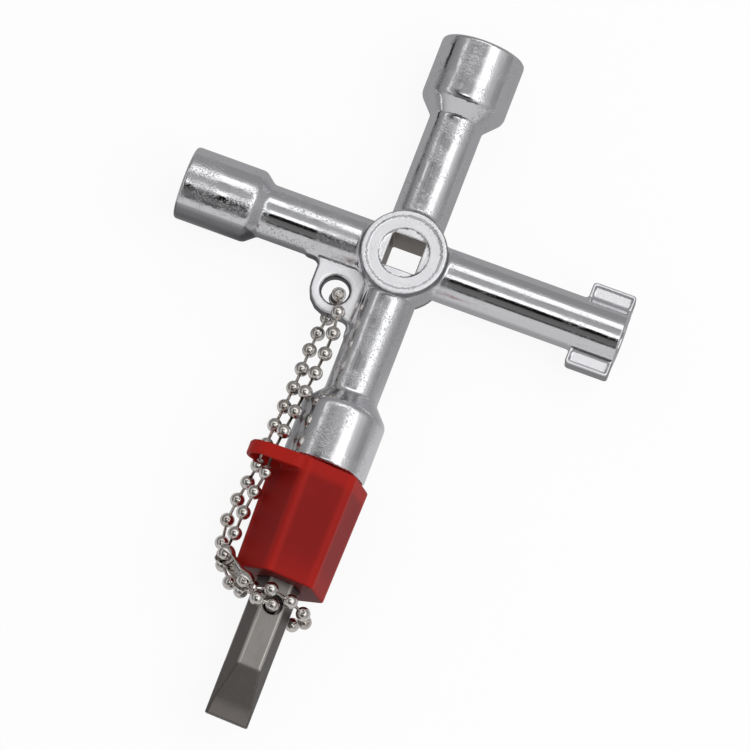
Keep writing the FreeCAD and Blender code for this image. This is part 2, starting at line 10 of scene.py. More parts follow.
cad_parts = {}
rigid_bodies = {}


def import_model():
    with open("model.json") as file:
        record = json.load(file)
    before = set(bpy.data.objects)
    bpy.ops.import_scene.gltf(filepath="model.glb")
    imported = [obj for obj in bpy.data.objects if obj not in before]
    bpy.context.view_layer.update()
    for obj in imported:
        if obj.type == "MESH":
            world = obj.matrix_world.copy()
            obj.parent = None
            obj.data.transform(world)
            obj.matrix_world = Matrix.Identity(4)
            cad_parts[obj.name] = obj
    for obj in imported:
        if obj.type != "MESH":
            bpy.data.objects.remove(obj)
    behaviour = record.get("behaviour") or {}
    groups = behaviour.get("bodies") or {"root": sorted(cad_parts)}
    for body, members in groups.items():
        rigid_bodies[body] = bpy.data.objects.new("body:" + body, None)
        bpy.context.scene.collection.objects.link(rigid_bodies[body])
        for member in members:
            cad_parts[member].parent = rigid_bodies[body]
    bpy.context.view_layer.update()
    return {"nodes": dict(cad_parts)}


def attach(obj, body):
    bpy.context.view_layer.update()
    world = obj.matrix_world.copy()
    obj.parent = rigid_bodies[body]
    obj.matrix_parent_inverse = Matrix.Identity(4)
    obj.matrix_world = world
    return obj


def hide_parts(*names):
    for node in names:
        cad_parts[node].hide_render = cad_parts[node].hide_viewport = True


for leftover in list(bpy.data.objects):
    bpy.data.objects.remove(leftover)
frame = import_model()
MM = 0.001

# The key's sizes, in millimetres from the middle of its hub
REACH = 36.8          # the end of each arm
ARM = 4.4             # radius of an arm's neck
SOCKET = 6.9          # radius of the upper and lower sockets
LEFT_SOCKET = 5.95    # radius of the left socket
SOCKET_FLOOR = 26.8   # where the square holes in the sockets end
HUB = 6.95            # radius of the hub
LUG_HALF = 1.5        # half the lug's thickness
WINGS = 29.5          # where the right arm's wings start
WING_REACH = 7.05     # how far a wing goes out from the arm's axis
WING_HALF = 1.6       # half a wing's thickness
SHOULDER = -37.3      # the holder's face at the lower socket
HOLDER_TURN = 15.0    # how far the holder is turned on the arm, in degrees
BIT_TIP = -79.6       # the end of the blade
BIT_TURN = 11.0       # how far the bit is turned, in degrees
BIT_HALF = 3.175      # half the bit's width across its flats
CORE = -3.0           # past an axis or a middle plane, where an outline closes
RIM = 0.35            # rounding at the mouths of the holes

# Cells of the smooth pieces, in millimetres
CAST_CELL = 0.3
HOLDER_CELL = 0.26
BIT_CELL = 0.16

# Colours
PLATED = (0.86, 0.86, 0.88, 1.0)
FROSTED = (0.96, 0.96, 0.99, 1.0)
# painted shade, for the plating's upright walls
CHROME_PAINTED_SHADE = (0.14, 0.14, 0.15, 1.0)
PITTED = (0.26, 0.26, 0.28, 1.0)
CUT_DARK = (0.30, 0.26, 0.235, 1.0)
CUT_LIGHT = (0.52, 0.47, 0.43, 1.0)
RED_DEEP = (0.185, 0.0042, 0.003, 1.0)
RED = (0.245, 0.006, 0.004, 1.0)
# painted highlight on the holder's long edges
RED_EDGE_HIGHLIGHT = (0.40, 0.014, 0.009, 1.0)
# painted light at the holder's shoulder, lighter towards its lower end
RED_LIGHTER_ENDS = (0.41, 0.011, 0.006, 1.0)
# painted shade on the holder's end face
RED_END_SHADE = (0.085, 0.004, 0.003, 1.0)
STEEL_DARK = (0.120, 0.109, 0.102, 1.0)
STEEL_LIGHT = (0.175, 0.160, 0.150, 1.0)
# painted light on the bit's level flats
LIT_FLAT_DARK = (0.19, 0.178, 0.168, 1.0)
LIT_FLAT_LIGHT = (0.34, 0.32, 0.305, 1.0)
# painted highlight on the bit's edges
STEEL_EDGE_HIGHLIGHT = (0.70, 0.67, 0.64, 1.0)
NICKEL = (0.80, 0.77, 0.735, 1.0)
NICKEL_DULL = (0.66, 0.61, 0.565, 1.0)
WHITE = (1.0, 1.0, 1.0, 1.0)
TABLE = (0.95, 0.95, 0.95, 1.0)
# painted reflection: the table as the plating shows it, with a painted shadow under the lug
TABLE_PAINTED_REFLECTION = (0.30, 0.30, 0.305, 1.0)
TABLE_PAINTED_REFLECTION_LOW = (0.54, 0.54, 0.55, 1.0)
TABLE_PAINTED_LUG_SHADOW = (0.12, 0.12, 0.125, 1.0)


# Finishes
class Signal:
    """An output in a finish's nodes; arithmetic on it adds maths nodes."""

    def __init__(self, finish, socket):
        self.finish = finish
        self.socket = socket

    def maths(self, operation, *values):
        return self.finish.add("Math", {"operation": operation}, dict(enumerate(values)))

    def __add__(self, other):
        return self.maths("ADD", self, other)

    def __sub__(self, other):
        return self.maths("SUBTRACT", self, other)

    def __rsub__(self, other):
        return self.maths("SUBTRACT", other, self)

    def __mul__(self, other):
        return self.maths("MULTIPLY", self, other)

    def __truediv__(self, other):
        return self.maths("DIVIDE", self, other)

    def __abs__(self):
        return self.maths("ABSOLUTE", self)

    __radd__ = __add__
    __rmul__ = __mul__


class Finish:
    """A tree of shader nodes, for a material or for the studio's surroundings."""

    def __init__(self, tree):
        self.tree = tree
        self.tree.nodes.clear()

    def add(self, kind, settings=None, inputs=None, output=0):
        """Adds a node with its settings and inputs, and returns its output, or a list of them."""
        node = self.tree.nodes.new("ShaderNode" + kind)
        for word, value in (settings or {}).items():
            if word == "stops":
                set_stops(node.color_ramp, value)
            else:
                setattr(node, word, value)
        for place, value in (inputs or {}).items():
            if isinstance(value, Signal):
                self.tree.links.new(value.socket, node.inputs[place])
            else:
                node.inputs[place].default_value = value
        if isinstance(output, tuple):
            return [Signal(self, node.outputs[name]) for name in output]
        return Signal(self, node.outputs[output])

    def rise(self, signal, low, high):
        """0 below low, 1 above high, with a soft step between."""
        return self.add("MapRange", {"interpolation_type": "SMOOTHSTEP"},
                        {"Value": signal, "From Min": low, "From Max": high})

    def fall(self, signal, low, high):
        """1 below low, 0 above high, with a soft step between."""
        return 1 - self.rise(signal, low, high)

    def mix(self, factor, low, high):
        """From one colour to another; a Mix node has its colours at 6 and 7, their mix at 2."""
        return self.add("Mix", {"data_type": "RGBA"}, {0: factor, 6: low, 7: high}, 2)

    def noise(self, place, scale, detail=2.0, roughness=0.5):
        """Cloudy noise about 0.5, with scale waves to a millimetre."""
        return self.add("TexNoise", {}, {"Vector": place, "Scale": scale, "Detail": detail,
                                         "Roughness": roughness})

    def streaks(self, place, stretch, detail, roughness=0.5):
        """Noise drawn out into marks, with its own waves to a millimetre along each axis."""
        drawn = self.add("Mapping", {}, {"Vector": place, "Scale": stretch})
        return self.noise(drawn, 1.0, detail, roughness)

    def millimetres(self):
        """Where a point of the piece is, in millimetres."""
        place = self.add("TexCoord", output="Object")
        return self.add("VectorMath", {"operation": "SCALE"}, {0: place, "Scale": 1 / MM})

    def coordinates(self, place):
        """The three numbers of a place."""
        return self.add("SeparateXYZ", {}, {0: place}, ("X", "Y", "Z"))

    def from_axis(self, a, b):
        """Distance from an axis, from the two numbers across it."""
        across = self.add("CombineXYZ", {}, {"X": a, "Y": b})
        return self.add("VectorMath", {"operation": "LENGTH"}, {0: across}, "Value")

    def levelness(self):
        """1 on a level face, on top or underneath, and 0 on an upright one."""
        facing = self.add("TexCoord", output="Normal")
        return abs(self.add("SeparateXYZ", {}, {0: facing}, "Z"))

    def bump(self, height):
        """A relief from heights in millimetres."""
        return self.add("Bump", {}, {"Strength": 1.0, "Distance": MM, "Height": height})

    def surface(self, inputs):
        """Finishes a material with one Principled surface."""
        self.add_output(self.add("BsdfPrincipled", {}, inputs))

    def add_output(self, shader, kind="Material"):
        node = self.tree.nodes.new("ShaderNodeOutput" + kind)
        self.tree.links.new(shader.socket, node.inputs["Surface"])


def set_stops(ramp, stops):
    """Gives a ramp its stops: places with their grey levels."""
    ramp.interpolation = "EASE"
    while len(ramp.elements) < len(stops):
        ramp.elements.new(1.0)
    for element, (place, level) in zip(ramp.elements, stops):
        element.position = place
        element.color = (level, level, level, 1.0)


def new_material(name):
    """A material and the empty finish to fill in for it."""
    material = bpy.data.materials.new(name)
    material.use_nodes = True
    return material, Finish(material.node_tree)


def cast_chrome():
    """Bright plating over a zinc casting: peel on the arms, frosted faces, painted wall shade, dull
    holes.
    """
    material, finish = new_material("cast_chrome_plating")
    place = finish.millimetres()
    x, y, z = finish.coordinates(place)
    level = finish.levelness()
    radius = finish.from_axis(x, y)

    # Where the plating is frosted, where shade is painted on its upright walls, and where the
    # broach cuts it away
    hub_face = finish.rise(abs(z), 4.3, 4.6) * finish.fall(radius, 6.75, 6.85)
    lug = finish.rise(0 - x, ARM, 4.7) * finish.rise(0 - y, ARM, 4.7)
    wings = finish.rise(x, 29.4, 29.7) * finish.rise(abs(y), ARM, 4.6)
    frosted = (hub_face * 0.85 + lug + wings) * finish.rise(level, 0.8, 0.97)
    # painted shade: the upright walls of the hub, the lug and the wings darkened in colour
    hub_side = (finish.rise(abs(z), 3.2, 3.9) * finish.rise(radius, 6.6, 6.7)
                * finish.fall(radius, 7.2, 7.9))
    painted_wall_shade = (hub_side + lug + wings * 0.7) * finish.fall(level, 0.45, 0.85)
    square = finish.fall(abs(x), 2.85, 2.95) * finish.fall(abs(y), 2.85, 2.95)
    square = square * finish.fall(level, 0.3, 0.6)

    # Relief: slow swell, orange peel in patches, pits, and the broach's marks
    swell = finish.noise(place, 0.45, 1.0)
    patches = (finish.rise(finish.noise(place, 0.22, 2.0), 0.42, 0.60)
               * (1 - finish.rise(x, 6.0, 10.0) * 0.8))
    peel = finish.noise(place, 3.0, 3.0, 0.7)
    specks = finish.rise(finish.noise(place, 3.8, 2.0, 0.6), 0.56, 0.66)
    pits = specks * (0.05 + patches * 0.45)
    broached = finish.streaks(place, (0.25, 0.25, 5.0), 3.0)
    height = (swell * 0.010 + peel * (0.006 + patches * 0.032 + frosted * 0.05) - pits * 0.04
              + broached * square * 0.15)

    plated = finish.mix(frosted, PLATED, FROSTED)
    plated = finish.mix(painted_wall_shade * 0.85, plated, CHROME_PAINTED_SHADE)
    plated = finish.mix(pits * (0.9 - frosted * 0.4), plated, PITTED)
    drilled = finish.mix(broached, CUT_DARK, CUT_LIGHT)
    finish.surface({
        "Base Color": finish.mix(square, plated, drilled), "Metallic": 1 - frosted * 0.6,
        "Roughness": 0.05 + frosted * 0.3 + square * 0.25,
        "Normal": finish.bump(height),
    })
    return material


def red_plastic():
    """Moulded red plastic, satin, a little uneven; painted highlights on its edges, painted shade
    on its end.
    """
    material, finish = new_material("red_moulded_plastic")
    place = finish.millimetres()
    cloud = finish.noise(place, 0.16, 2.0)
    grain = finish.noise(place, 6.0, 3.0)
    x, y, z = finish.coordinates(place)
    radius = finish.from_axis(x, z)

    # Painted highlight on the long edges, painted light at the shoulder, lighter near the lower
    # end, painted shade on the end face
    # painted highlight: lighter red along the long edges
    corners = finish.rise(radius - (y - SHOULDER) * 0.024, 7.6, 7.95)
    # painted light on the shoulder and the eye tab; lighter towards the lower end
    lighter_ends = finish.rise(y, -40.2, -38.6) * 0.6 + finish.fall(y, -56.0, -50.0) * 0.35
    # painted shade: the end face darkened
    end = finish.fall(y, -56.35, -56.2)
    colour = finish.mix(cloud, RED_DEEP, RED)
    colour = finish.mix(corners * 0.5, colour, RED_EDGE_HIGHLIGHT)
    colour = finish.mix(lighter_ends, colour, RED_LIGHTER_ENDS)
    colour = finish.mix(end, colour, RED_END_SHADE)
    finish.surface({
        "Base Color": colour, "Roughness": 0.38 + grain * 0.14, "Specular IOR Level": 0.16,
        "Normal": finish.bump(grain * 0.005 + finish.noise(place, 0.4, 1.0) * 0.03),
    })
    return material


def bit_steel():
    """Dark tempered tool steel with grinding marks, painted light on its level flats, painted
    highlights on its edges.
    """
    material, finish = new_material("dark_tool_steel")
    place = finish.millimetres()
    marks = finish.streaks(place, (5.0, 0.4, 5.0), 4.0, 0.6)
    cloud = finish.noise(place, 0.5, 2.0)
    x, y, z = finish.coordinates(place)
    above_blade = finish.rise(y, -71.2, -70.6)
    # painted highlight: the hexagon's corners made lighter
    edge_highlight = finish.rise(finish.from_axis(x, z), 3.47, 3.57)
    # painted light: the level flats lighter than the other sides
    flat = finish.rise(finish.levelness(), 0.94, 0.97) * above_blade
    shade = finish.mix(flat, STEEL_DARK, LIT_FLAT_DARK)
    light = finish.mix(flat, STEEL_LIGHT, LIT_FLAT_LIGHT)
    colour = finish.mix(marks * 0.6 + cloud * 0.4, shade, light)
    colour = finish.mix(edge_highlight * above_blade * 0.7, colour, STEEL_EDGE_HIGHLIGHT)
    finish.surface({
        "Base Color": colour, "Metallic": 0.9, "Roughness": 0.32 + marks * 0.14,
        "Normal": finish.bump(marks * 0.012),
    })
    return material


def chain_nickel():
    """Warm nickel plating on the chain, dull in places."""
    material, finish = new_material("chain_nickel_plating")
    place = finish.millimetres()
    ripple = finish.noise(place, 1.2, 2.0)
    tarnish = finish.rise(finish.noise(place, 0.6, 2.0), 0.45, 0.65)
    finish.surface({
        "Base Color": finish.mix(tarnish, NICKEL, NICKEL_DULL), "Metallic": 1.0,
        "Roughness": 0.05 + ripple * 0.06, "Normal": finish.bump(ripple * 0.012),
    })
    return material


# Forms: depths in millimetres, negative inside, for a table of points
def joined(a, b, soft):
    """Two forms as one, with a hollow rounding where they meet."""
    near = np.clip(soft - np.abs(a - b), 0.0, None) / soft
    return np.minimum(a, b) - near * near * soft / 4


def cut(a, b, soft):
    """The first form without the second, its new edges rounded."""
    return -joined(-a, b, soft)


def within(a, b, soft):
    """What two forms share, with rounded edges."""
    return -joined(-a, -b, soft)


def outline_depth(u, v, corners):
    """Depth in a closed outline; a third number rounds its corner."""
    points = softened(corners)
    nearest = np.full(u.shape, 1e9)
    inside = np.zeros(u.shape, bool)
    for (au, av), (bu, bv) in zip(points, points[1:] + points[:1]):
        eu, ev = bu - au, bv - av
        wu, wv = u - au, v - av
        along = np.clip((wu * eu + wv * ev) / (eu * eu + ev * ev), 0.0, 1.0)
        nearest = np.minimum(nearest, (wu - eu * along) ** 2 + (wv - ev * along) ** 2)
        crossing = (av <= v) != (bv <= v)
        inside ^= crossing & ((eu * wv > ev * wu) == (bv > av))
    return np.where(inside, -1.0, 1.0) * np.sqrt(nearest)


def softened(corners, steps=5):
    """The outline's corners, each with a radius turned into a short arc."""
    points = []
    befores = corners[-1:] + corners[:-1]
    afters = corners[1:] + corners[:1]
    for before, corner, after in zip(befores, corners, afters):
        here = Vector(corner[:2])
        if len(corner) == 2:
            points.append(tuple(here))
            continue
        radius = corner[2]
        back = (Vector(before[:2]) - here).normalized()
        ahead = (Vector(after[:2]) - here).normalized()
        half = back.angle(ahead) / 2
        centre = here + (back + ahead).normalized() * (radius / math.sin(half))
        start = here + back * (radius / math.tan(half)) - centre
        end = here + ahead * (radius / math.tan(half)) - centre
        for step in range(steps + 1):
            arm = start.lerp(end, step / steps).normalized() * radius
            points.append(tuple(centre + arm))
    return points


def rectangle(u, v, radius):
    """The corners of a rectangle between two values of u and two of v."""
    return [(u[0], v[0], radius), (u[1], v[0], radius), (u[1], v[1], radius), (u[0], v[1], radius)]


def diamond(x, z, half):
    """A square on its corner, as the lower socket and the holder's plug have it."""
    return np.maximum(np.abs(x + z), np.abs(x - z)) / math.sqrt(2.0) - half


def plate(flat, height, half, edge):
    """A flat outline with some thickness and rounded edges."""
    side = flat + edge
    face = np.abs(height) - half + edge
    outside = np.hypot(np.clip(side, 0.0, None), np.clip(face, 0.0, None))
    return np.minimum(np.maximum(side, face), 0.0) + outside - edge


def cross_solid(x, y, z):
    """The casting before its holes: arms, lug, wings with their sunk panels, and hub."""
    tall = outline_depth(np.hypot(x, z), np.abs(y), [
        (CORE, CORE), (ARM, CORE), (ARM, 24.0, 1.2), (SOCKET, 26.8, 1.8),
        (SOCKET, REACH, 0.6), (CORE, REACH)])
    left = outline_depth(np.hypot(y, z), -x, [
        (CORE, CORE), (ARM, CORE), (ARM, 23.2, 1.0), (LEFT_SOCKET, 25.1, 1.5),
        (LEFT_SOCKET, REACH, 0.6), (CORE, REACH)])
    right = outline_depth(np.hypot(y, z), x, [
        (CORE, CORE), (ARM, CORE), (ARM, REACH, 0.25), (CORE, REACH)])
    hub = outline_depth(np.hypot(x, y), np.abs(z), [
        (CORE, CORE), (CORE, 4.55), (3.85, 4.55, 0.1), (4.15, 4.85, 0.1), (5.8, 4.85, 0.15),
        (6.05, 5.2, 0.12), (6.75, 5.2, 0.25), (HUB, 4.8, 0.3), (HUB, CORE)])
    lug = plate(outline_depth(x, y, [
        (0.0, 0.0), (-14.5, 0.0), (-14.5, -ARM), (-12.4, -ARM, 1.4), (-12.4, -12.7, 4.1),
        (-ARM, -12.7, 1.4), (-ARM, -14.8), (0.0, -14.8)]), z, LUG_HALF, 0.55)
    wing = plate(outline_depth(x, np.abs(y), [
        (WINGS, CORE), (WINGS, WING_REACH, 0.6), (REACH, WING_REACH, 0.6), (REACH, CORE)]),
        z, WING_HALF, 0.35)
    panel = outline_depth(x, np.abs(y), rectangle((30.05, 36.25), (4.7, 6.5), 0.2))
    sunk = within(panel, 1.25 - np.abs(z), 0.15)
    body = joined(joined(tall, joined(left, right, 0.1), 0.8), lug, 0.9)
    body = within(joined(body, wing, 0.6), x - REACH, 0.4)
    return joined(cut(body, sunk, 0.25), hub, 0.7)


def cross_form(p):
    """The whole casting with its holes."""
    x, y, z = p.T
    body = cross_solid(x, y, z)
    square = outline_depth(x, y, rectangle((-2.75, 2.75), (-2.75, 2.75), 0.3))
    body = cut(body, square, 0.3)
    eye = np.hypot(x + 8.3, y + 8.6) - 2.2
    body = cut(body, eye, 0.9)
    upper = outline_depth(x, z, rectangle((-4.0, 4.0), (-4.0, 4.0), 0.3))
    body = cut(body, within(upper, SOCKET_FLOOR - y, 0.1), RIM)
    body = cut(body, within(diamond(x, z, 4.0), y + SOCKET_FLOOR, 0.1), RIM)
    high = 9.0 / math.sqrt(3.0)
    triangle = outline_depth(y, z, [
        (0.0, high, 0.3), (-4.5, -high / 2, 0.3), (4.5, -high / 2, 0.3)])
    body = cut(body, within(triangle, x + 26.3, 0.1), RIM)
    bore = within(np.hypot(y, z) - 3.0, 21.8 - x, 0.2)
    return cut(body, bore, RIM)


def about_arm(p, turn):
    """A point's place round the lower arm, as the holder and the bit are turned on it."""
    lean = math.radians(turn)
    x, y, z = p.T
    return x * math.cos(lean) - z * math.sin(lean), -x * math.sin(lean) - z * math.cos(lean), y


def six_sides(u, v, flat, soft):
    """A hexagon with a corner to each side."""
    depth = None
    for turn in (30.0, 90.0, 150.0):
        lean = math.radians(turn)
        side = np.abs(u * math.cos(lean) + v * math.sin(lean)) - flat
        depth = side if depth is None else within(depth, side, soft)
    return depth


def holder_form(p):
    """The moulded holder: body with draft, chain eye, plug and the bit's seat."""
    x, _, z = p.T
    u, v, along = about_arm(p, HOLDER_TURN)
    down = SHOULDER - along
    body = six_sides(u, v, 7.145 - 0.0209 * down, 0.5)
    body = within(body, np.abs(down - 9.35) - 9.65, 0.4)
    eye_x, eye_z = x + 8.55, z - 4.7
    tab = np.hypot(eye_x - np.clip(eye_x, 0.0, 4.6), eye_z) - 3.25
    tab = within(tab, np.abs(down - 0.9) - 1.15, 0.25)
    eye = np.hypot(eye_x, eye_z) - 2.45
    body = joined(body, cut(tab, eye, 0.6), 0.5)
    plug = within(diamond(x, z, 3.85), np.abs(down + 4.0) - 5.0, 0.6)
    seat = within(six_sides(u, v, 3.315, 0.1), 3.36 - down, 0.1)
    return cut(joined(body, plug, 0.3), seat, 0.3)


def bit_form(p):
    """The steel bit: hexagon, ground blade, cross point and the chain's hole."""
    u, v, along = about_arm(p, BIT_TURN)
    up = along - BIT_TIP
    bar = six_sides(u, v, BIT_HALF, 0.25)
    bar = within(bar, up - 29.8, 0.3)
    shank = outline_depth(np.hypot(u, v), up, [
        (-2.0, 20.0), (2.8, 20.0), (2.8, 34.8), (0.8, 38.8), (-2.0, 38.8)])
    flute = np.minimum(np.abs(u + v), np.abs(u - v)) * math.sqrt(0.5) - 0.4
    shank = cut(shank, within(-flute, 33.4 - up, 0.1), 0.1)
    wedge = outline_depth(np.abs(v), up, [
        (-2.0, 0.0), (0.6, 0.0, 0.1), (0.75, 1.9, 9.0), (BIT_HALF, 8.8), (6.0, 14.0),
        (6.0, 50.0), (-2.0, 50.0)])
    bar = within(joined(bar, shank, 0.1), wedge, 0.16)
    hole = np.hypot(u, up - 19.3) - 1.5
    return cut(bar, hole, 0.25)


# Smooth pieces
MERGE = 2e-6        # corners of the node's mesh this near to each other are one, in metres
ROUNDS = 4          # steps of each point toward the form's surface
LONGEST_STEP = 0.4  # in millimetres
LEAST_STEEP = 0.25


def even_cells(name, node, cell):
    """The node's mesh in even cells, in millimetres."""
    rough = node.data.copy()
    maker = bmesh.new()
    maker.from_mesh(rough)
    bmesh.ops.remove_doubles(maker, verts=maker.verts, dist=MERGE)
    bmesh.ops.scale(maker, vec=(1 / MM,) * 3, verts=maker.verts)
    maker.to_mesh(rough)
    maker.free()
    stand_in = bpy.data.objects.new(name + "_cells", rough)
    bpy.context.scene.collection.objects.link(stand_in)
    cells = stand_in.modifiers.new("cells", "REMESH")
    cells.mode = "VOXEL"
    cells.voxel_size = cell
    graph = bpy.context.evaluated_depsgraph_get()
    mesh = bpy.data.meshes.new_from_object(stand_in.evaluated_get(graph))
    bpy.data.objects.remove(stand_in)
    mesh.name = name
    mesh.materials.clear()
    return mesh


def slopes(form, places, step=0.01):
    """The way out of a form at each point."""
    found = np.empty_like(places)
    for axis in range(3):
        ahead, behind = places.copy(), places.copy()
        ahead[:, axis] += step
        behind[:, axis] -= step
        found[:, axis] = (form(ahead) - form(behind)) / (2 * step)
    return found


def smooth_piece(name, node, cell, form, material):
    """A piece over its CAD node: the node's mesh in even cells, drawn onto the form's surface."""
    mesh = even_cells(name, node, cell)
    places = np.empty(len(mesh.vertices) * 3)
    mesh.vertices.foreach_get("co", places)
    places = places.reshape(-1, 3)
    for _ in range(ROUNDS):
        slope = slopes(form, places)
        steep = np.clip((slope ** 2).sum(axis=1), LEAST_STEEP, None)
        step = np.clip(form(places) / steep, -LONGEST_STEP, LONGEST_STEP)
        places -= slope * step[:, None]
    facing = slopes(form, places)
    facing /= np.linalg.norm(facing, axis=1)[:, None] + 1e-9
    mesh.vertices.foreach_set("co", (places * MM).ravel())
    mesh.polygons.foreach_set("use_smooth", np.ones(len(mesh.polygons), bool))
    mesh.update()
    mesh.normals_split_custom_set_from_vertices(facing)
    return place_piece(name, mesh, material, [node.name])


def place_piece(name, mesh, material, replaced):
    """Puts a mesh in the scene as the piece that stands for its CAD nodes."""
    piece = bpy.data.objects.new(name, mesh)
    bpy.context.scene.collection.objects.link(piece)
    mesh.materials.append(material)
    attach(piece, "root")
    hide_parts(*replaced)
    return piece


# Chain
PIN_RADIUS = 0.25 * MM
MOUTH = 1.35        # a ball's mouths where the shell turns in, in pin radii
BACK_HOLE = 1.3     # the mouth at the back, inside
FRONT_HOLE = 1.25   # the mouth that the pin leaves by, inside
BACK = 0.78         # how deep the mouths are, in ball radii from the middle
FRONT = 0.80
PIN_RUN_ON = 0.22   # how far the pin goes on into the next ball, in ball radii

# The clip, in millimetres; its slit as half its opening, in degrees
CUP = 1.6
CUP_SWELL = 0.05
WAIST = 1.15
LIP = 0.4
BLEND = 0.3
WAIST_SLIT = 74.0
CUP_CLOSES = 30.0
CUP_REACH = 0.9     # how far a cup goes past its ball's middle, in cup radii
SLIT_WAY = Vector((-0.80, -0.25, 0.50))
SHEET = 0.22
SHEET_EDGE = 0.06


def ball_names():
    return sorted(name for name in frame["nodes"] if name.startswith("chain_ball"))


def fit_ball(name):
    """The middle, the radius and the pin's end of a chain node, fitted to its corners."""
    points = np.array([v.co[:] for v in frame["nodes"][name].data.vertices])
    near = points
    for _ in range(3):
        system = np.column_stack([2 * near, np.ones(len(near))])
        solved = np.linalg.lstsq(system, (near ** 2).sum(axis=1), rcond=None)[0]
        centre = solved[:3]
        radius = np.sqrt(solved[3] + (centre ** 2).sum())
        away = np.linalg.norm(points - centre, axis=1)
        error = np.abs(away - radius)
        near = points[error < max(0.04 * radius, np.percentile(error, 60))]
    pin = points[away > radius * 1.15]
    return centre, radius, (pin.mean(axis=0) if len(pin) else None)


def turned(name, stations, sides=24):
    """A smooth mesh turned round Z through rings of (height, radius)."""
    mesh = bpy.data.meshes.new(name)
    maker = bmesh.new()
    rings = []
    turns = [math.tau * i / sides for i in range(sides)]
    for height, radius in stations:
        if radius == 0.0:
            rings.append([maker.verts.new((0.0, 0.0, height))])
            continue
        rings.append([maker.verts.new((radius * math.cos(a), radius * math.sin(a), height))
                      for a in turns])
    for below, above in zip(rings[:-1], rings[1:]):
        for i in range(sides):
            ahead = (i + 1) % sides
            if len(below) == 1:
                maker.faces.new((below[0], above[ahead], above[i]))
            elif len(above) == 1:
                maker.faces.new((below[i], below[ahead], above[0]))
            else:
                maker.faces.new((below[i], below[ahead], above[ahead], above[i]))
    for face in maker.faces:
        face.smooth = True
    maker.to_mesh(mesh)
    maker.free()
    return mesh


def ball_stations(radius, reach, steps=18):
    """A hollow ball pressed round its pin: the mouths turn in a little, and the pin runs on."""
    mouth = math.asin(PIN_RADIUS * MOUTH / radius)
    sweep = math.pi - 2 * mouth
    angles = [mouth + sweep * i / steps for i in range(steps + 1)]
    stations = [(-radius * BACK, 0.0), (-radius * BACK, PIN_RADIUS * BACK_HOLE)]
    stations += [(-radius * math.cos(a), radius * math.sin(a)) for a in angles]
    stations.append((radius * FRONT, PIN_RADIUS * FRONT_HOLE))
    if reach:
        stations += [(radius * FRONT, PIN_RADIUS), (reach, PIN_RADIUS), (reach, 0.0)]
    else:
        stations.append((radius * FRONT, 0.0))
    return stations


def make_chain(material):
    """A turned ball over each ball of the CAD chain, with its pin toward the next one."""
    for name in ball_names():
        centre, radius, pin = fit_ball(name)
        reach = None
        way = Vector((0.0, 0.0, 1.0))
        if pin is not None:
            way = Vector(pin - centre)
            reach = way.length + radius * PIN_RUN_ON
        mesh = turned(name + "_bright", ball_stations(radius, reach))
        stand = way.to_track_quat("Z", "Y").to_matrix().to_4x4()
        mesh.transform(Matrix.Translation(Vector(centre)) @ stand)
        place_piece(name + "_bright", mesh, material, [name])


def clip_radius(at, span):
    """The clip's radius at a place along it: a cup round each ball and a waist between."""
    near = min(abs(at), abs(at - span))
    dome = math.sqrt(max(CUP * CUP - near * near, 0.0))
    if 0.0 <= at <= span:
        blended = math.log(math.exp(dome / BLEND) + math.exp(WAIST / BLEND)) * BLEND
        return min(blended, CUP + CUP_SWELL)
    return max(dome, LIP)


def make_clip(material, steps=56, sides=28):
    """A folded sheet between the first and the last ball: a slit tube with a cup for each."""
    names = ball_names()
    start, end = (Vector(fit_ball(name)[0]) for name in (names[0], names[-1]))
    way = (end - start).normalized()
    span = (end - start).length / MM
    slit = (SLIT_WAY - way * SLIT_WAY.dot(way)).normalized()
    across = way.cross(slit)
    maker = bmesh.new()
    rows = []
    for i in range(steps + 1):
        at = -CUP * CUP_REACH + (span + CUP * 2 * CUP_REACH) * i / steps
        reach = clip_radius(at, span)
        share = min(max((reach - WAIST) / (CUP - WAIST), 0.0), 1.0)
        half_gap = math.radians(WAIST_SLIT - CUP_CLOSES * share)
        row = []
        for j in range(sides + 1):
            turn = half_gap + (math.tau - 2 * half_gap) * j / sides
            out = slit * math.cos(turn) + across * math.sin(turn)
            row.append(maker.verts.new(start + (way * at + out * reach) * MM))
        rows.append(row)
    for one, two in zip(rows[:-1], rows[1:]):
        for j in range(sides):
            maker.faces.new((one[j], one[j + 1], two[j + 1], two[j]))
    for face in maker.faces:
        face.smooth = True
    mesh = bpy.data.meshes.new("chain_clip_folded")
    bmesh.ops.recalc_face_normals(maker, faces=maker.faces)
    maker.to_mesh(mesh)
    maker.free()
    piece = place_piece("chain_clip_folded", mesh, material, ["chain_clip"])
    sheet = piece.modifiers.new("sheet", "SOLIDIFY")
    sheet.thickness = SHEET * MM
    sheet.offset = 0.0
    rim = piece.modifiers.new("rim", "BEVEL")
    rim.width = SHEET_EDGE * MM
    rim.segments = 2


# Studio
TABLE_TOP = -8.05     # in millimetres
TABLE_HALF = 3.0      # in metres
# middle of the painted shadow by the lug in the table's painted reflection
LUG_SHADE = (-18.0, -9.0, 0.0)
FILL = 0.62           # the surroundings' strength for all that isn't a mirror
LEAST_WEIGHT = 0.0002
LAMP_AT = Vector((0.34, 0.02, 0.56))
LAMP_SIZE = 0.5
LAMP_POWER = 1.8
CAMERA_FAR = 1.6      # in metres
CAMERA_RIGHT = Vector((0.937, 0.349, 0.014))
CAMERA_UP = Vector((-0.337, 0.905, 0.2596))
PICTURE_MIDDLE = Vector((2.3, -19.1, 0.0))
PICTURE_WIDTH = 118.1
SENSOR = 36.0

